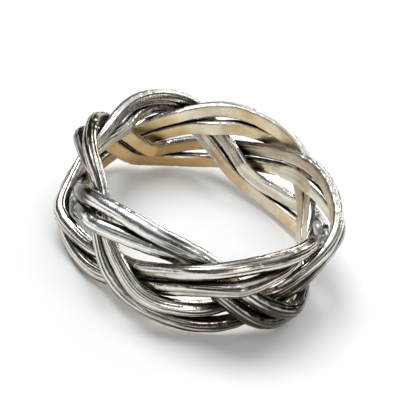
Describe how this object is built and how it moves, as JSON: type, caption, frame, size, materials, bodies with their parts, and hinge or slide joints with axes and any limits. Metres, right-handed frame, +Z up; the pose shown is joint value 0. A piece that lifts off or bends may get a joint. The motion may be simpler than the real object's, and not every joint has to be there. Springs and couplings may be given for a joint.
{
  "type": "braided band ring",
  "caption": "Silver finger ring, a flat plait of three doubled wires closed into a band, with domed wire ends at its closing joint.",
  "frame": {"origin": "on the finger hole's axis, at the height of the surface that the ring lies on", "axes": "+Z up along the finger hole's axis, +X to the right as seen from the front, -Y to the front of the ring"},
  "size_m": [0.0233, 0.0241, 0.0086],
  "materials": {
    "silver": "polished sterling silver with blackened grooves, fine draw lines and a satin warm inside"
  },
  "bodies": {
    "root": {"strand_a_upper_wire": "silver", "strand_a_lower_wire": "silver", "strand_b_upper_wire": "silver", "strand_b_lower_wire": "silver", "strand_c_upper_wire": "silver", "strand_c_lower_wire": "silver", "closing_end_inner": "silver", "closing_end_outer": "silver"}
  },
  "joints": []
}
